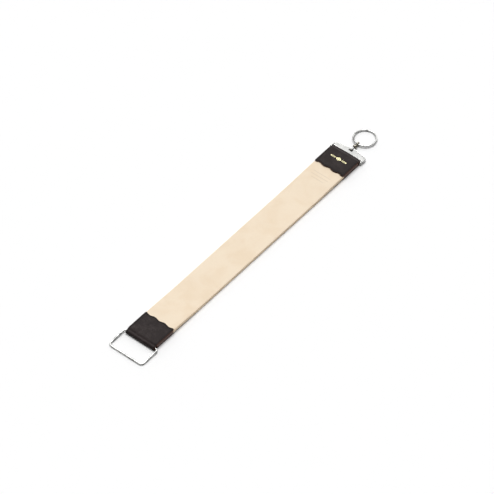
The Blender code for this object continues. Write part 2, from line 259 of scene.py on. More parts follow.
def evenly(line, spacing):
    """The same line with its points at an even spacing; a closed line keeps its repeated last point."""
    steps = np.linalg.norm(np.diff(line, axis=0), axis=1)
    along = np.concatenate([[0.0], np.cumsum(steps)])
    places = np.linspace(0.0, along[-1], max(int(along[-1] / spacing), 8) + 1)
    return np.stack([np.interp(places, along, line[:, k]) for k in range(line.shape[1])], -1)


def tube(path, radius):
    """Round wire along a flat closed path in XY: path + radius * (cos(a) * sideways + sin(a) * up)."""
    path = path[:-1]
    tangent = unit(np.roll(path, -1, 0) - np.roll(path, 1, 0))
    sideways = np.stack([tangent[:, 1], -tangent[:, 0]], -1)
    angle = np.linspace(0.0, math.tau, WIRE_SIDES, endpoint=False)
    flat = path[:, None, :] + radius * np.cos(angle)[None, :, None] * sideways[:, None, :]
    height = np.broadcast_to(radius * np.sin(angle), flat.shape[:2])
    return np.concatenate([flat, height[..., None]], -1)


def turned(profile):
    """A (radius, height) profile turned round Z: (r cos(a), r sin(a), h)."""
    angle = np.linspace(0.0, math.tau, TURNED_SIDES, endpoint=False)
    radius = profile[:, 0][:, None]
    height = np.broadcast_to(profile[:, 1][:, None], (len(profile), TURNED_SIDES))
    return np.stack([radius * np.cos(angle), radius * np.sin(angle), height], -1)


def along_x(points):
    """Turns a shape made round Z so that it lies round X."""
    return np.stack([points[..., 2], points[..., 1], -points[..., 0]], -1)


def along_y(points):
    """Turns a shape made round Z so that it lies round Y."""
    return np.stack([points[..., 0], points[..., 2], -points[..., 1]], -1)


def tilted(points, angle):
    """Turns points about the X axis by an angle."""
    c, s = math.cos(angle), math.sin(angle)
    x, y, z = np.moveaxis(points, -1, 0)
    return np.stack([x, c * y - s * z, s * y + c * z], -1)


def grid_faces(rows, columns, wrap_rows, wrap_columns, first):
    """Quads between neighbouring points of a grid whose points are numbered row by row from first."""
    last_row = rows if wrap_rows else rows - 1
    last_column = columns if wrap_columns else columns - 1
    row, column = np.meshgrid(np.arange(last_row), np.arange(last_column), indexing="ij")
    below, beside = (row + 1) % rows, (column + 1) % columns
    here, under = row * columns, below * columns
    corners = (here + column, here + beside, under + beside, under + column)
    return first + np.stack(corners, -1).reshape(-1, 4)


def cleaned(mesh, distance):
    """Merges points within a distance, turns the faces outwards by the signed volume and sets the shading."""
    shell = bmesh.new()
    shell.from_mesh(mesh)
    bmesh.ops.remove_doubles(shell, verts=shell.verts, dist=distance)
    bmesh.ops.dissolve_degenerate(shell, edges=shell.edges, dist=distance)
    if shell.calc_volume(signed=True) < 0.0:
        bmesh.ops.reverse_faces(shell, faces=shell.faces)
    shell.to_mesh(mesh)
    shell.free()
    mesh.shade_smooth()
    mesh.set_sharp_from_angle(angle=SHARP_ANGLE)
    return mesh


class Shape:
    """Points and faces collected from one or more grids, with a value per point for each named mask."""

    def __init__(self):
        self.points = []
        self.faces = []
        self.masks = {}
        self.count = 0

    def grid(self, points, wrap_rows=False, wrap_columns=False, close_ends=False, masks=None):
        """Adds a grid of points, joined to itself where it wraps and with a face at each closed end."""
        rows, columns = points.shape[:2]
        self.faces += grid_faces(rows, columns, wrap_rows, wrap_columns, self.count).tolist()
        if close_ends:
            self.faces.append(list(range(self.count, self.count + columns)))
            last = self.count + (rows - 1) * columns
            self.faces.append(list(range(last, last + columns))[::-1])
        self.points.append(points.reshape(-1, 3))
        for name, values in (masks or {}).items():
            self.masks.setdefault(name, []).append(np.broadcast_to(values, (rows, columns)).reshape(-1))
        self.count += rows * columns
        return self

    def mesh(self, name):
        """One mesh of all the grids, with its masks as point attributes."""
        mesh = bpy.data.meshes.new(name)
        mesh.from_pydata(np.concatenate(self.points).tolist(), [], self.faces)
        for mask, values in self.masks.items():
            layer = mesh.attributes.new(mask, "FLOAT", "POINT")
            layer.data.foreach_set("value", np.concatenate(values).astype(np.float32))
        return cleaned(mesh, MERGE_DISTANCE)


def place(name, mesh, material, body, nodes, slot):
    """Puts a finished mesh into the scene on its body, in the place of its CAD nodes."""
    piece = bpy.data.objects.new(name, mesh)
    bpy.context.scene.collection.objects.link(piece)
    mesh.materials.clear()
    mesh.materials.append(material)
    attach(piece, body)
    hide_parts(*nodes)


def combined(name, base, tools):
    """One mesh from a base mesh with closed shapes joined to it or cut away; tools are (operation, mesh)."""
    piece = bpy.data.objects.new(name, base)
    bpy.context.scene.collection.objects.link(piece)
    helpers = []
    for operation, tool_mesh in tools:
        helper = bpy.data.objects.new(name + "_tool", tool_mesh)
        bpy.context.scene.collection.objects.link(helper)
        boolean = piece.modifiers.new("shape", "BOOLEAN")
        boolean.operation = operation
        boolean.solver = "EXACT"
        boolean.object = helper
        helpers.append(helper)
    graph = bpy.context.evaluated_depsgraph_get()
    mesh = bpy.data.meshes.new_from_object(piece.evaluated_get(graph))
    for used in [piece] + helpers:
        bpy.data.objects.remove(used, do_unlink=True)
    mesh.name = name
    return cleaned(mesh, WELD_DISTANCE)


# ---------------------------------------------------------------- materials


class Value:
    """A shader value. Arithmetic on it adds Math nodes to its material."""

    def __init__(self, graph, socket):
        self.graph = graph
        self.socket = socket

    def __add__(self, other):
        return self.graph.math("ADD", self, other)

    def __sub__(self, other):
        return self.graph.math("SUBTRACT", self, other)

    def __rsub__(self, other):
        return self.graph.math("SUBTRACT", other, self)

    def __mul__(self, other):
        return self.graph.math("MULTIPLY", self, other)

    def __truediv__(self, other):
        return self.graph.math("DIVIDE", self, other)

    def __abs__(self):
        return self.graph.math("ABSOLUTE", self)

    __radd__ = __add__
    __rmul__ = __mul__


class Finish:
    """The nodes of one material, round its Principled shader."""

    def __init__(self, name):
        self.material = bpy.data.materials.new(name)
        self.material.use_nodes = True
        self.tree = self.material.node_tree
        self.shader = self.tree.nodes["Principled BSDF"]
        self.place = self.node("ShaderNodeTexCoord").outputs["Object"]

    def put(self, socket, value):
        """Links a value to a socket, or sets the socket to it."""
        if isinstance(value, Value):
            value = value.socket
        if isinstance(value, bpy.types.NodeSocket):
            self.tree.links.new(value, socket)
        elif hasattr(value, "__len__") and len(value) == 3 and len(socket.default_value) == 4:
            socket.default_value = (*value, 1.0)
        else:
            socket.default_value = value

    def node(self, kind, settings=None, inputs=None):
        """Adds a node, sets it up, then gives its sockets their values or links."""
        node = self.tree.nodes.new(kind)
        for name, value in (settings or {}).items():
            setattr(node, name, value)
        for name, value in (inputs or {}).items():
            self.put(node.inputs[name], value)
        return node

    def math(self, operation, *values):
        """A Math node's result."""
        node = self.node("ShaderNodeMath", {"operation": operation}, dict(enumerate(values)))
        return Value(self, node.outputs[0])

    def step(self, value, start, end):
        """0 before start, 1 after end, smooth between."""
        inputs = {"Value": value, "From Min": start, "From Max": end}
        node = self.node("ShaderNodeMapRange", {"interpolation_type": "SMOOTHSTEP"}, inputs)
        return Value(self, node.outputs["Result"])

    def mask(self, name):
        """A mask stored with the mesh's points."""
        return Value(self, self.node("ShaderNodeAttribute", {"attribute_name": name}).outputs["Fac"])

    def stretched(self, x, y, z):
        """Object coordinates scaled per axis."""
        node = self.node("ShaderNodeVectorMath", {"operation": "MULTIPLY"}, {0: self.place, 1: (x, y, z)})
        return node.outputs["Vector"]

    def noise(self, size, detail=3.0, roughness=0.55, distortion=0.0, place=None):
        """Cloudy noise from 0 to 1 with features of about this size in metres."""
        inputs = {
            "Vector": place or self.place,
            "Scale": 1.0 / size,
            "Detail": detail,
            "Roughness": roughness,
            "Distortion": distortion,
        }
        return Value(self, self.node("ShaderNodeTexNoise", inputs=inputs).outputs["Fac"])

    def cells(self, size, feature="F1"):
        """Distance pattern of cells of about this size in metres."""
        inputs = {"Vector": self.place, "Scale": 1.0 / size}
        node = self.node("ShaderNodeTexVoronoi", {"feature": feature}, inputs)
        return Value(self, node.outputs["Distance"])

    def mix(self, factor, first, second):
        """A colour between two colours."""
        node = self.node("ShaderNodeMix", {"data_type": "RGBA"}, {0: factor, 6: first, 7: second})
        return node.outputs[2]

    def tint(self, colour, value):
        """A colour scaled by a value, channel by channel."""
        node = self.node("ShaderNodeVectorMath", {"operation": "SCALE"}, {0: colour, "Scale": value})
        return node.outputs["Vector"]

    def bump(self, height, distance, strength):
        """A normal bent by a height; distance is how far a height of 1 stands out."""
        inputs = {"Height": height, "Distance": distance, "Strength": strength}
        return self.node("ShaderNodeBump", inputs=inputs).outputs["Normal"]

    def surface(self, **sockets):
        """Sets the shader's sockets, with _ for a space in their names, and returns the material."""
        for name, value in sockets.items():
            self.put(self.shader.inputs[name.replace("_", " ")], value)
        return self.material


def honing_leather(colours):
    """Pale vegetable-tanned leather: mottled face, burnished side, fibrous underside, stained ends."""
    f = Finish("honing_leather")
    edge, under, covered, rule = f.mask("edge"), f.mask("under"), f.mask("covered"), f.mask("rule")
    clouds = f.noise(38 * MM, detail=4.0, distortion=0.6)
    drift = f.noise(9 * MM, detail=5.0, roughness=0.65)
    fibres = f.noise(1.2 * MM, detail=4.0, place=f.stretched(1.0, 0.35, 1.0))
    pores = f.step(f.cells(0.55 * MM), 0.10, 0.42)

    mottling = f.step(clouds, 0.38, 0.68) * 0.55 + drift * 0.30
    face = f.mix(mottling, tuple(colours.tan), tuple(colours.tan_deep))
    face = f.tint(face, 0.955 + fibres * 0.06 + pores * 0.03 - rule * 0.16)
    side_bands = f.noise(1.6 * MM, detail=5.0, place=f.stretched(1.0, 0.12, 1.6))
    side = f.tint(tuple(colours.burnished), 0.70 + side_bands * 0.62)
    back = f.tint(tuple(colours.flesh), 0.72 + f.noise(0.9 * MM, detail=6.0, roughness=0.7) * 0.56)
    colour = f.mix(under, face, back)
    colour = f.mix(edge, colour, side)
    stain = f.tint(tuple(colours.cap_edge), 0.6 + side_bands * 0.8)
    colour = f.mix(covered, colour, stain)

    rough = 0.50 + drift * 0.10 + fibres * 0.06 + under * 0.34 - edge * 0.14
    nap = f.noise(0.35 * MM, detail=3.0, roughness=0.7)
    smooth_grain = fibres * 0.35 + pores * 0.25 + drift * 0.5
    grain = smooth_grain * (1.0 - under) + nap * under * 2.2 + side_bands * edge * 1.1
    return f.surface(
        Base_Color=colour, Roughness=rough, Specular_IOR_Level=0.35, Normal=f.bump(grain, 0.10 * MM, 0.7)
    )


def cap_leather(name, colours, fold_y, inward, ornament):
    """Dark leather with a rubbed grain, stained cut edges and, if asked, a foil ornament on its middle."""
    f = Finish(name)
    edge, inside, crease = f.mask("edge"), f.mask("inside"), f.mask("crease")
    fold, border = f.mask("fold"), f.mask("border")
    pebbles = f.cells(1.15 * MM, "SMOOTH_F1")
    furrows = f.step(f.cells(1.15 * MM, "DISTANCE_TO_EDGE"), 0.0, 0.16)
    across_cap = f.stretched(0.45, 1.5, 1.0)
    wrinkles = f.noise(3.2 * MM, detail=5.0, roughness=0.62, distortion=1.2, place=across_cap)
    wear = f.noise(11 * MM, detail=4.0, roughness=0.6)
    fine = f.noise(0.30 * MM, detail=3.0)

    rubbed = f.step(wear + fold * 0.35 + wrinkles * 0.25, 0.52, 0.95)
    colour = f.mix(rubbed * furrows * 0.75, tuple(colours.cap), tuple(colours.cap_worn))
    colour = f.tint(colour, (0.82 + furrows * 0.22 - crease * 0.45) * (1.0 - border * 0.62))
    cut = f.tint(tuple(colours.cap_edge), 0.65 + f.noise(0.8 * MM, detail=5.0) * 0.8)
    colour = f.mix(edge, colour, cut)
    back = f.tint(tuple(colours.cap_worn), 0.7 + fine * 0.7)
    colour = f.mix(inside, colour, back)

    rough = 0.34 + wear * 0.16 + (1.0 - furrows) * 0.18 - rubbed * 0.05 + inside * 0.3 + edge * 0.12
    height = furrows * 0.55 - pebbles * 0.45 + wrinkles * 0.9 + fine * 0.12
    metal = 0.0
    if ornament:
        leaf = foil_mask(f, fold_y + inward * 0.47 * CAP_REACH)
        worn_leaf = leaf * f.step(f.noise(0.7 * MM, detail=4.0) + furrows * 0.3, 0.30, 0.52)
        colour = f.mix(worn_leaf, colour, f.tint(tuple(colours.gold), 0.86 + fine * 0.28))
        rough = rough * (1.0 - worn_leaf) + worn_leaf * 0.30
        metal = worn_leaf
        height = height * (1.0 - leaf * 0.6) - leaf * 0.5
    return f.surface(
        Base_Color=colour, Metallic=metal, Roughness=rough, Specular_IOR_Level=0.12,
        Normal=f.bump(height, 0.16 * MM, 0.8),
    )


def foil_mask(f, centre_y):
    """A lozenge with a pair of short rules at each side and small lozenges at their ends, 1 on the foil."""
    axes = f.node("ShaderNodeSeparateXYZ", inputs={"Vector": f.place})
    across = abs(Value(f, axes.outputs["X"]))
    along = abs(Value(f, axes.outputs["Y"]) - centre_y)
    soft = 0.12 * MM

    def within(distance, limit):
        """1 up to a limit and 0 beyond it."""
        return 1.0 - f.step(distance, limit - soft, limit + soft)

    def lozenge(centre, half_x, half_y):
        """A lozenge of these half sizes on each side of the middle, at this distance from it."""
        return within((abs(across - centre) / half_x + along / half_y) * half_y, half_y)

    big = lozenge(0.0, 4.6 * MM, 3.2 * MM) * (1.0 - lozenge(0.0, 2.9 * MM, 2.0 * MM))
    heart = lozenge(0.0, 1.7 * MM, 1.2 * MM)
    rule_span = within(abs(across - 8.4 * MM), 3.0 * MM)
    rules = rule_span * within(abs(along - 0.75 * MM), 0.32 * MM)
    ends = lozenge(12.6 * MM, 1.5 * MM, 1.2 * MM)
    return f.math("MINIMUM", big + heart + rules + ends, 1.0)


def plated(name, colour, roughness, scratch, tarnish_and_dark_reflection):
    """Bright plate with faint smears, fine hairline scratches and darker patches that are partly tarnish and
    partly a painted reflection of dark surroundings.
    """
    f = Finish(name)
    smears = f.noise(6 * MM, detail=4.0, roughness=0.6, distortion=0.8)
    dull_and_dark_reflection = f.step(f.noise(9 * MM, detail=2.0, roughness=0.5, distortion=0.5), 0.46, 0.60)
    hairs = f.noise(0.5 * MM, detail=5.0, roughness=0.75, place=f.stretched(0.25, 1.0, 1.0))
    pits = f.step(f.cells(0.9 * MM), 0.0, 0.12)
    # Painted reflection: the darker patches, scaled per finish, are partly tarnish and partly stand in for
    # dark surroundings reflected in the plate.
    shade = f.tint(tuple(colour), (0.95 + smears * 0.08 - (1.0 - pits) * 0.08) * (1.0 - dull_and_dark_reflection * tarnish_and_dark_reflection))
    rough = roughness + smears * roughness * 0.7 + hairs * roughness * 0.5
    return f.surface(
        Base_Color=shade, Metallic=1.0, Roughness=rough,
        Normal=f.bump(hairs * 0.4 + smears * 0.8 + pits * 0.3, scratch, 0.6),
    )


# ---------------------------------------------------------------- pieces


def strap_underside(y, drop_run):
    """Height of the strap's underside: lifted inside the caps and eased down to the surface between them."""
    from_cap = LENGTH_OVER_CAPS / 2 - cap_length() - np.abs(y - STRAP_MIDDLE_Y)
    return strap_lift() * ease(1.0 - from_cap / drop_run)


def strap_lift():
    """How far the caps hold the strap's ends off the surface."""
    return STRAP_HIGH[2] - bpy.context.scene.strop_sizes.strap_thickness


def cap_length():
    """Distance from a cap's fold to the middle of its wavy edge."""
    return CAP_REACH - bpy.context.scene.strop_sizes.wave_depth


def strap_mesh(sizes):
    """The strap: a rounded rectangle carried along Y.

    The section's faces are even grids whose ends crowd into quarter circles; the top face carries slow sine
    waves and the blind rules, each a Gaussian groove exp(-(dy/w)^2) that fades at its two ends.
    """
    width, thick, rim = STRAP_WIDTH, sizes.strap_thickness, sizes.edge_round
    across = rimmed(width, rim, 0.75 * MM)
    bulge = rim * (1.0 - round_over(np.minimum(across, width - across), rim))
    wall = np.linspace(thick - rim, rim, 8)[1:-1]
    top = np.stack([across - width / 2, thick - bulge], -1)
    right = np.stack([np.full_like(wall, width / 2), wall], -1)
    section = np.concatenate([top, right, (top * (1, -1) + (0, thick))[::-1], (right * (-1, 1))[::-1]])
    top_count = len(top)
    on_top = (np.arange(len(section)) < top_count) * 1.0

    cap_edge_y = HANGER_CAP_LOW[1]
    tooled = np.linspace(cap_edge_y - 28 * MM, cap_edge_y - 11 * MM, 130)
    stations = np.unique(np.concatenate([np.linspace(STRAP_LOW[1], STRAP_HIGH[1], 230), tooled]))[:, None]
    x = section[None, :, 0] + 0.0 * stations
    rule = np.zeros_like(x)
    for inset, length in RULES:
        fade = ease((length / 2 - np.abs(x)) / (0.8 * MM))
        rule = np.maximum(rule, hill(stations - cap_edge_y + inset, sizes.rule_width / 2) * fade)
    rule = rule * on_top
    waves = np.sin(stations * 61.0 + x * 40.0) + 0.6 * np.sin(stations * 143.0 - x * 95.0 + 1.3)
    z = strap_underside(stations, sizes.drop_run) + section[None, :, 1]
    middle = ease((width / 2 - np.abs(x)) / (6 * MM))
    z = z + on_top * (sizes.ripple * waves * middle - sizes.rule_depth * rule)
    points = np.stack([x, stations + 0.0 * x, z], -1)

    side = ease((np.abs(section[:, 0]) - (width / 2 - 0.55 * rim)) / (0.4 * rim))
    under = (section[:, 1] < thick / 2) * (1.0 - side)
    reach = np.minimum(stations - HANDLE_CAP_LOW[1], HANGER_CAP_HIGH[1] - stations)
    covered = 1.0 - ease((reach - cap_reach(x, sizes)) / (0.5 * MM) + 1.0)
    masks = {"edge": side, "under": under, "covered": covered, "rule": rule}
    return Shape().grid(points, wrap_columns=True, close_ends=True, masks=masks).mesh("strap_leather")


def cap_reach(x, sizes):
    """Distance from the fold to the cap's inner edge: even cosine waves, with the two corners rounded off."""
    wave = cap_length() - sizes.wave_depth * np.cos(math.tau * sizes.wave_count * x / CAP_WIDTH)
    corner = 2.0 * MM
    return wave - corner * (1.0 - round_over(CAP_WIDTH / 2 - np.abs(x), corner))


def cap_mesh(name, fold_y, inward, sizes):
    """A cap: one sheet folded round a bar, as two offset copies of its middle surface that meet all round.

    The middle line runs along the top, eases down past the strap's end, turns half round the bar and comes
    back below. Each copy stands off by half the leather times a quarter circle at every rim, and a Gaussian
    groove follows the wavy edge.
    """
    leather = sizes.cap_leather
    rim = 0.45 * leather
    x = rimmed(CAP_WIDTH, rim, 0.8 * MM) - CAP_WIDTH / 2
    top, bottom = CAP_HEIGHT - leather / 2, leather / 2
    roll = ROLL_RADIUS - leather / 2
    straight_end = cap_length() - 6.5 * MM
    strap_end = STRAP_LOW[1] - HANDLE_CAP_LOW[1] + CLEARANCE

    ramp = np.linspace(0.0, 1.0, 22)
    turn = np.linspace(math.pi / 2, 3 * math.pi / 2, 33)[1:-1]
    flat = np.linspace(straight_end, strap_end, 26)[:-1]
    distance = np.concatenate([
        flat,
        strap_end + (ROLL_RADIUS - strap_end) * ramp,
        ROLL_RADIUS + roll * np.cos(turn),
        np.linspace(ROLL_RADIUS, straight_end, 30),
    ])
    height = np.concatenate([
        np.full_like(flat, top),
        top + (ROLL_RADIUS + roll - top) * ease(ramp),
        ROLL_RADIUS + roll * np.sin(turn),
        np.full(30, bottom),
    ])
    crowd = rim * (1.0 - np.cos(np.linspace(0.0, math.pi / 2, RIM_STEPS)))
    from_edge = np.concatenate([crowd, np.linspace(rim, 4.4 * MM, 30)[1:]])
    reach = cap_reach(x, sizes)
    edge_distance = reach[None, :] - from_edge[:, None]
    middle = np.concatenate([
        np.stack([edge_distance, np.full_like(edge_distance, top)], -1),
        np.broadcast_to(np.stack([distance, height], -1)[:, None, :], (len(distance), len(x), 2)),
        np.stack([edge_distance, np.full_like(edge_distance, bottom)], -1)[::-1],
    ])
    edge_count = len(from_edge)
    line = middle[:, len(x) // 2]
    heading = unit(np.gradient(line, axis=0))
    outward = np.stack([heading[:, 1], -heading[:, 0]], -1)

    inset = np.concatenate([from_edge, np.full(len(distance), 1.0), from_edge[::-1]])[:, None]
    side_inset = (CAP_WIDTH / 2 - np.abs(x))[None, :]
    thickness = leather / 2 * round_over(inset, rim) * round_over(side_inset, rim)
    along = np.arange(len(line))[:, None]
    upper = (along < edge_count + len(flat) + len(ramp)) * 1.0
    groove = hill(inset - sizes.crease_inset, 0.32 * MM) * upper * ease(side_inset / (1.5 * MM))
    pinch = hill(line[:, 0][:, None] - 1.25 * ROLL_RADIUS - 2.2 * MM, 2.0 * MM) * upper * (inset > 0.5)
    crown = 0.22 * MM * (1.0 - ease(side_inset / (3.0 * MM)))
    hollows = (PINCH_DEPTH * pinch + crown * upper) * round_over(side_inset, rim)
    lift = thickness - sizes.crease_depth * groove - hollows
    lift = np.maximum(lift, -0.6 * thickness)

    cut = 1.0 - round_over(inset, rim) * round_over(side_inset, rim)
    edge = ease(cut * 4.0)
    fold = hill(line[:, 0] - 0.9 * ROLL_RADIUS, 2.2 * MM)[:, None] * upper
    beyond = np.full(len(distance), from_edge[-1])
    from_inner_edge = np.concatenate([from_edge, beyond, from_edge[::-1]])[:, None]
    border = 1.0 - ease(side_inset / (5.0 * MM)) * ease(from_inner_edge / from_edge[-1])
    shape = Shape()
    for offset, inner in ((lift, 0.0), (-thickness, 1.0)):
        flat_points = middle + outward[:, None, :] * offset[..., None]
        points = np.stack([
            np.broadcast_to(x, offset.shape), fold_y + inward * flat_points[..., 0], flat_points[..., 1]
        ], -1)
        masks = {
            "edge": edge,
            "inside": inner * (1.0 - edge),
            "crease": groove * (1.0 - inner),
            "fold": fold + 0.0 * offset,
            "border": border,
        }
        if inner:
            points = points[:, ::-1]
            masks = {key: np.broadcast_to(value, offset.shape)[:, ::-1] for key, value in masks.items()}
        shape.grid(points, masks=masks)
    return shape.mesh(name)


def handle_mesh(sizes):
    """The handle: round wire along a closed rounded rectangle, then tilted down about its bar."""
    half = (HANDLE_HIGH[0] - HANDLE_LOW[0]) / 2 - WIRE_RADIUS
    drop = HANDLE_BAR[2] - WIRE_RADIUS
    run = HANDLE_BAR[1] - (HANDLE_LOW[1] + WIRE_RADIUS)
    length = math.hypot(run, drop)
    corners = [(half, 0.0), (-half, 0.0), (-half, -length), (half, -length)]
    bar, grip = sizes.bar_corner, sizes.grip_corner
    path = evenly(rounded_line(corners, [bar, bar, grip, grip], closed=True), 0.45 * MM)
    points = tilted(tube(path, WIRE_RADIUS), math.atan2(drop, run)) + HANDLE_BAR
    return Shape().grid(points, wrap_rows=True, wrap_columns=True).mesh("handle_wire")


def plate_rim(sizes):
    """Middle line of the hanger's bead from ear to ear, measured from the pin, and where its web starts."""
    half = PLATE_HIGH[0] - sizes.bead_radius
    shoulder, neck, neck_half = 9.6 * MM, 14.4 * MM, 4.5 * MM
    head_clear = (PIN_HIGH[2] - PIN_LOW[2]) / 2 + CLEARANCE
    corners = [(half, head_clear), (half, shoulder + 0.7 * MM), (neck_half, neck)]
    corners += [(-x, y) for x, y in corners[::-1]]
    radii = [0.0, 4.5 * MM, 2.5 * MM, 2.5 * MM, 4.5 * MM, 0.0]
    return evenly(rounded_line(corners, radii), 0.4 * MM), ROLL_RADIUS + 0.6 * MM


def plate_blank(sizes):
    """The pressed blank: a flat web that rises into a round bead along its rim.

    Measured inwards from the rim by w, half the thickness is the larger of the bead's circle
    sqrt(r^2 - w^2) and half the web, blended as (a + b + sqrt((a - b)^2 + k^2)) / 2.
    """
    rim, start = plate_rim(sizes)
    bead, web = sizes.bead_radius, sizes.web_thickness / 2
    inward = unit(np.gradient(rim, axis=0))
    inward = np.stack([-inward[:, 1], inward[:, 0]], -1)
    has_web = ease((rim[:, 1] - start) / (0.4 * MM) + 0.5)
    share = np.cumsum(has_web) / np.sum(has_web)
    joined = bead * (1.0 + 0.7 * has_web)
    lower = np.stack([(1.0 - 2.0 * share) * (rim[:, 0].max() - 1.7 * bead), np.full_like(share, start)], -1)

    outer = -bead * np.cos(np.linspace(0.0, math.pi / 2, 12))
    near = np.linspace(0.0, 1.0, 16)[1:]
    far = np.linspace(0.0, 1.0, 22)[1:] ** 0.9
    joint_line = rim + inward * joined[:, None]
    lower = np.where(has_web[:, None] > 0.0, lower, joint_line)
    straight = np.linalg.norm(lower - joint_line, axis=1)
    flat = np.concatenate([
        rim[:, None] + inward[:, None] * outer[None, :, None],
        rim[:, None] + inward[:, None] * (near[None, :] * joined[:, None])[..., None],
        joint_line[:, None] + (lower - joint_line)[:, None] * far[None, :, None],
    ], 1)
    from_rim = np.concatenate([
        np.broadcast_to(outer, (len(rim), len(outer))), near[None, :] * joined[:, None],
        joined[:, None] + far[None, :] * straight[:, None],
    ], 1)
    circle = np.sqrt(np.maximum(bead**2 - from_rim**2, 0.0))
    left = (joined + straight)[:, None] - from_rim
    sheet = web * has_web[:, None] * round_over(left, 0.4 * web)
    blend = WEB_BLEND * np.clip(from_rim / bead, 0.0, 1.0) * has_web[:, None]
    blend = blend * np.clip(left / (0.5 * MM), 0.0, 1.0)
    half = (circle + sheet + np.sqrt((circle - sheet) ** 2 + blend**2)) / 2
    half = np.where(from_rim > 0.0, half, circle)
    upper = np.concatenate([flat, half[..., None]], -1)
    loop = np.concatenate([upper, (upper * (1, 1, -1))[:, ::-1]], 1)
    return Shape().grid(loop, wrap_columns=True, close_ends=True).mesh("plate_blank")


def rod(radius, start, end, fillet):
    """Profile of a rod with rounded ends."""
    corners = [(0.0, start), (radius, start), (radius, end), (0.0, end)]
    return rounded_line(corners, [0.0, fillet, fillet, 0.0])


def boss_ends():
    """Start and end of the plate's boss, measured from the pin: clear of the washer and of the ball."""
    start = WASHER_HIGH[1] - HANGER_BAR[1] + CLEARANCE
    return start, start + BOSS_LENGTH


def plate_mesh(sizes):
    """The hanger: the blank joined to its boss and its two ears, with the window and the bores cut."""
    start, end = boss_ends()
    ear_start = PLATE_HIGH[0] - 2 * sizes.bead_radius + 0.1 * MM
    ear_end = ear_start + EAR_THICKNESS
    washer_radius = (WASHER_HIGH[0] - WASHER_LOW[0]) / 2
    boss = along_y(turned(rod(BOSS_RADIUS, start - 0.4 * MM, end, 0.35 * MM)))
    tools = [("UNION", Shape().grid(boss, wrap_columns=True).mesh("boss"))]
    for side in (-1.0, 1.0):
        ear = along_x(turned(rod(EAR_RADIUS, side * ear_start, side * ear_end, 0.25 * MM)))
        tools.append(("UNION", Shape().grid(ear, wrap_columns=True).mesh("ear")))
    window_half = washer_radius + 1.0 * MM
    base = start - WINDOW_DEPTH
    window_line = rounded_line(
        [(window_half, start), (-window_half, start), (-window_half, base), (window_half, base)],
        [0.02 * MM, 0.02 * MM, 1.0 * MM, 1.0 * MM], closed=True,
    )[:-1]
    levels = np.array([-WINDOW_HALF_HEIGHT, WINDOW_HALF_HEIGHT])
    window = np.stack([
        np.broadcast_to(window_line[:, 0], (2, len(window_line))),
        np.broadcast_to(window_line[:, 1], (2, len(window_line))),
        np.broadcast_to(levels[:, None], (2, len(window_line))),
    ], -1)
    tools.append(("DIFFERENCE", Shape().grid(window, wrap_columns=True, close_ends=True).mesh("window")))
    bore = along_y(turned(rod(SHANK_RADIUS + CLEARANCE, start - 1.0 * MM, end + 2.0 * MM, 0.1 * MM)))
    tools.append(("DIFFERENCE", Shape().grid(bore, wrap_columns=True).mesh("bore")))
    reach = PLATE_HIGH[0] + 2.0 * MM
    pin_bore = along_x(turned(rod(PIN_RADIUS + CLEARANCE, -reach, reach, 0.1 * MM)))
    tools.append(("DIFFERENCE", Shape().grid(pin_bore, wrap_columns=True).mesh("pin_bore")))
    mesh = combined("hanger_stamping", plate_blank(sizes), tools)
    mesh.transform(Matrix.Translation(HANGER_BAR))
    return mesh


def pin_mesh():
    """The pin: a rod with a domed, peened head outside each ear."""
    end = PIN_HIGH[0]
    head = (PIN_HIGH[2] - PIN_LOW[2]) / 2
    neck = end - 0.7 * MM
    half = rounded_line(
        [(0.0, end), (head, end), (head, neck), (PIN_RADIUS, neck)], [0.0, 0.45 * MM, 0.15 * MM, 0.0]
    )
    profile = np.concatenate([half, (half * (1, -1))[::-1]])
    points = along_x(turned(profile)) + HANGER_BAR
    return Shape().grid(points, wrap_columns=True).mesh("pin_bar")


def washer_mesh():
    """The washer: a flat ring with softened corners."""
    radius = (WASHER_HIGH[0] - WASHER_LOW[0]) / 2
    low, high = WASHER_LOW[1] - HANGER_BAR[1], WASHER_HIGH[1] - HANGER_BAR[1]
    hole = WASHER_HOLE_RADIUS
    profile = rounded_line([(hole, low), (radius, low), (radius, high), (hole, high)], [0.12 * MM] * 4)
    points = along_y(turned(profile)) + HANGER_BAR
    return Shape().grid(points, wrap_rows=True, wrap_columns=True).mesh("washer_disc")


def swivel_mesh(sizes):
    """The swivel: head, shank, ball and neck turned in one profile, joined to an eye turned across it."""
    ball, shank, neck, head = sizes.ball_radius, SHANK_RADIUS, NECK_RADIUS, SHANK_HEAD_RADIUS
    eye_y = EYE_CENTRE[1] - HANGER_BAR[1]
    ball_y = boss_ends()[1] + CLEARANCE + ball
    head_start = SWIVEL_LOW[1] - HANGER_BAR[1]
    head_end = WASHER_LOW[1] - HANGER_BAR[1] - CLEARANCE
    head_line = rounded_line(
        [(0.0, head_start), (head, head_start), (head, head_end), (shank, head_end)],
        [0.0, 0.5 * MM, 0.15 * MM, 0.0],
    )
    angle = np.linspace(math.asin(shank / ball), math.pi - math.asin(neck / ball), 40)
    ball_line = np.stack([ball * np.sin(angle), ball_y - ball * np.cos(angle)], -1)
    hole = EYE_HOLE_RADIUS
    neck_end = eye_y - (EYE_RADIUS + hole) / 2
    neck_line = np.array([(neck, neck_end), (0.0, neck_end)])
    stem_points = along_y(turned(np.concatenate([head_line, ball_line, neck_line])))
    stem = Shape().grid(stem_points, wrap_columns=True).mesh("stem")
    half = EYE_HALF_WIDTH
    ring_line = rounded_line(
        [(hole, -half), (EYE_RADIUS, -half), (EYE_RADIUS, half), (hole, half)], [0.62 * MM] * 4
    )
    eye = along_x(turned(ring_line)) + (0.0, eye_y, 0.0)
    eye_mesh = Shape().grid(eye, wrap_rows=True, wrap_columns=True).mesh("eye")
    mesh = combined("swivel_ball", stem, [("UNION", eye_mesh)])
    mesh.transform(Matrix.Translation(HANGER_BAR))
    return mesh


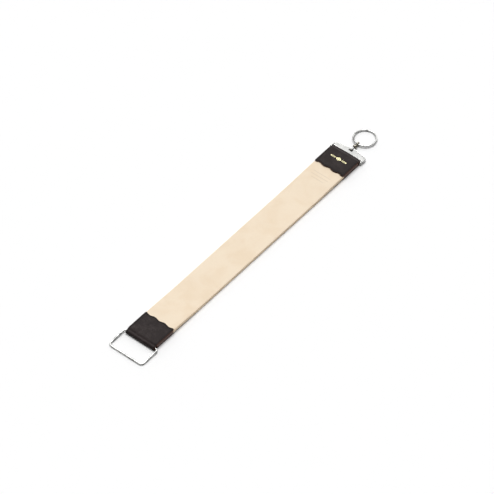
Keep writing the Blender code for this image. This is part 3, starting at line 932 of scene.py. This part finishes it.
def ring_mesh():
    """The ring: round wire along a circle, leaning from the eye down to the surface."""
    radius = (RING_HIGH[0] - RING_LOW[0]) / 2 - WIRE_RADIUS
    drop = EYE_CENTRE[2] - WIRE_RADIUS
    angle = np.linspace(-math.pi / 2, 1.5 * math.pi, 221)
    path = np.stack([radius * np.cos(angle), radius + radius * np.sin(angle)], -1)
    points = tilted(tube(path, WIRE_RADIUS), -math.asin(drop / (2 * radius))) + EYE_CENTRE
    return Shape().grid(points, wrap_rows=True, wrap_columns=True).mesh("ring_wire")


# ---------------------------------------------------------------- operators


class STROP_OT_strap(bpy.types.Operator):
    """Build the honing strap"""

    bl_idname = "strop.strap"
    bl_label = "Honing strap"

    def execute(self, context):
        sizes, colours = context.scene.strop_sizes, context.scene.strop_colours
        finish = honing_leather(colours)
        place("strap_leather", strap_mesh(sizes), finish, "strap", ["honing_strap"], "tan_leather")
        return {"FINISHED"}


class STROP_OT_caps(bpy.types.Operator):
    """Build the two leather caps, the one at the ring with its foil ornament"""

    bl_idname = "strop.caps"
    bl_label = "Leather caps"

    def execute(self, context):
        sizes, colours = context.scene.strop_sizes, context.scene.strop_colours
        ends = (
            ("handle_cap", HANDLE_CAP_LOW[1], 1.0, False),
            ("hanger_cap", HANGER_CAP_HIGH[1], -1.0, True),
        )
        for node, fold_y, inward, ornament in ends:
            name = node + "_leather"
            finish = cap_leather(name, colours, fold_y, inward, ornament)
            place(name, cap_mesh(name, fold_y, inward, sizes), finish, "strap", [node], "dark_leather")
        return {"FINISHED"}


class STROP_OT_handle(bpy.types.Operator):
    """Build the wire handle"""

    bl_idname = "strop.handle"
    bl_label = "Wire handle"

    def execute(self, context):
        sizes = context.scene.strop_sizes
        finish = bpy.data.materials["wire_plate"]
        place("handle_wire", handle_mesh(sizes), finish, "handle", ["handle_loop"], "chrome")
        return {"FINISHED"}


class STROP_OT_hanger(bpy.types.Operator):
    """Build the hanger plate and the pin through it"""

    bl_idname = "strop.hanger"
    bl_label = "Hanger and pin"

    def execute(self, context):
        sizes = context.scene.strop_sizes
        plate, steel = bpy.data.materials["bright_plate"], bpy.data.materials["plain_steel"]
        place("hanger_stamping", plate_mesh(sizes), plate, "hanger", ["hanger_plate"], "chrome")
        place("pin_bar", pin_mesh(), steel, "hanger", ["hanger_pin"], "steel")
        return {"FINISHED"}


class STROP_OT_swivel(bpy.types.Operator):
    """Build the swivel and its washer"""

    bl_idname = "strop.swivel"
    bl_label = "Swivel and washer"

    def execute(self, context):
        sizes = context.scene.strop_sizes
        plate, steel = bpy.data.materials["swivel_plate"], bpy.data.materials["plain_steel"]
        place("washer_disc", washer_mesh(), steel, "hanger", ["swivel_washer"], "steel")
        place("swivel_ball", swivel_mesh(sizes), plate, "swivel", ["swivel_eye"], "chrome")
        return {"FINISHED"}


class STROP_OT_ring(bpy.types.Operator):
    """Build the hanging ring"""

    bl_idname = "strop.ring"
    bl_label = "Hanging ring"

    def execute(self, context):
        place("ring_wire", ring_mesh(), bpy.data.materials["wire_plate"], "ring", ["hang_ring"], "chrome")
        return {"FINISHED"}


class STROP_OT_metals(bpy.types.Operator):
    """Make the plated and plain steel finishes that the metal pieces share"""

    bl_idname = "strop.metals"
    bl_label = "Metal finishes"

    def execute(self, context):
        colours = context.scene.strop_colours
        plated("bright_plate", colours.chrome, 0.09, 0.02 * MM, 0.12)
        # The wire plate's strong darker patches are mostly painted reflection: dark dashes of the
        # surroundings painted into the plate's colour.
        plated("wire_plate", colours.chrome, 0.12, 0.02 * MM, 0.55)
        # Partly painted reflection: the swivel's darker plate colour also stands in for the dark surroundings
        # reflected in its ball.
        plated("swivel_plate", colours.swivel, 0.16, 0.03 * MM, 0.20)
        plated("plain_steel", colours.steel, 0.26, 0.05 * MM, 0.15)
        return {"FINISHED"}


def studio_world():
    """A dark studio with soft lights above and behind, which shows white where the camera sees it."""
    world = bpy.data.worlds.new("studio")
    world.use_nodes = True
    tree = world.node_tree
    background = tree.nodes["Background"]

    def node(kind, settings, inputs):
        made = tree.nodes.new(kind)
        for name, value in settings.items():
            setattr(made, name, value)
        for name, value in inputs.items():
            if isinstance(value, bpy.types.NodeSocket):
                tree.links.new(value, made.inputs[name])
            else:
                made.inputs[name].default_value = value
        return made.outputs

    direction = tree.nodes.new("ShaderNodeTexCoord").outputs["Generated"]
    glow = ROOM_STRENGTH
    for towards, start, full, strength in SOFT_LIGHTS:
        axis = Vector(towards).normalized()
        cosine = node("ShaderNodeVectorMath", {"operation": "DOT_PRODUCT"}, {0: direction, 1: axis})["Value"]
        share = node(
            "ShaderNodeMapRange", {"interpolation_type": "SMOOTHSTEP"},
            {"Value": cosine, "From Min": start, "From Max": full, "To Max": strength},
        )["Result"]
        glow = node("ShaderNodeMath", {"operation": "ADD"}, {0: glow, 1: share})[0]
    seen = tree.nodes.new("ShaderNodeLightPath").outputs["Is Camera Ray"]
    shown = node("ShaderNodeMix", {"data_type": "FLOAT"}, {0: seen, 2: glow, 3: 1.0})[0]
    tree.links.new(shown, background.inputs["Strength"])
    background.inputs["Color"].default_value = (1.0, 1.0, 1.0, 1.0)
    return world


class STROP_OT_stage(bpy.types.Operator):
    """Lay the floor and set the lights and the camera"""

    bl_idname = "strop.stage"
    bl_label = "Stage"

    def execute(self, context):
        scene = context.scene
        f = Finish("floor_paper")
        f.surface(Base_Color=tuple(scene.strop_colours.floor), Roughness=0.9, Specular_IOR_Level=0.1)
        half = FLOOR_HALF_WIDTH
        corners = [(-half, -half, 0.0), (half, -half, 0.0), (-half, half, 0.0), (half, half, 0.0)]
        floor_mesh = bpy.data.meshes.new("floor")
        floor_mesh.from_pydata(corners, [], [(0, 1, 3, 2)])
        floor_mesh.materials.append(f.material)
        floor = bpy.data.objects.new("floor", floor_mesh)
        scene.collection.objects.link(floor)

        scene.world = studio_world()
        scene.view_settings.view_transform = "Standard"

        level = math.cos(CAMERA_ELEVATION)
        back = Vector((
            math.sin(CAMERA_AZIMUTH) * level, -math.cos(CAMERA_AZIMUTH) * level, math.sin(CAMERA_ELEVATION)
        ))
        camera_data = bpy.data.cameras.new("camera")
        camera_data.sensor_width = CAMERA_SENSOR
        camera_data.lens = CAMERA_LENS
        camera = bpy.data.objects.new("camera", camera_data)
        scene.collection.objects.link(camera)
        camera.location = Vector(CAMERA_TARGET) + back * CAMERA_DISTANCE
        camera.rotation_euler = back.to_track_quat("Z", "Y").to_euler()
        scene.camera = camera
        return {"FINISHED"}


BUILD_ORDER = (
    STROP_OT_metals,
    STROP_OT_strap,
    STROP_OT_caps,
    STROP_OT_handle,
    STROP_OT_hanger,
    STROP_OT_swivel,
    STROP_OT_ring,
    STROP_OT_stage,
)


class STROP_PT_panel(bpy.types.Panel):
    """Lists the strop's sizes, colours and building steps."""

    bl_idname = "STROP_PT_panel"
    bl_label = "Leather strop"
    bl_space_type = "VIEW_3D"
    bl_region_type = "UI"
    bl_category = "Strop"

    def draw(self, context):
        layout = self.layout
        for step in BUILD_ORDER:
            layout.operator(step.bl_idname)
        for group in (context.scene.strop_sizes, context.scene.strop_colours):
            box = layout.box()
            for name in group.__annotations__:
                box.prop(group, name)


CLASSES = (StropSizes, StropColours, *BUILD_ORDER, STROP_PT_panel)


def register():
    for item in CLASSES:
        bpy.utils.register_class(item)
    bpy.types.Scene.strop_sizes = bpy.props.PointerProperty(type=StropSizes)
    bpy.types.Scene.strop_colours = bpy.props.PointerProperty(type=StropColours)


def unregister():
    del bpy.types.Scene.strop_colours
    del bpy.types.Scene.strop_sizes
    for item in reversed(CLASSES):
        bpy.utils.unregister_class(item)


def main():
    """Builds every piece and the stage."""
    register()
    for step in BUILD_ORDER:
        family, action = step.bl_idname.split(".")
        getattr(getattr(bpy.ops, family), action)()
    bpy.context.view_layer.update()


if __name__ == "__main__":
    main()
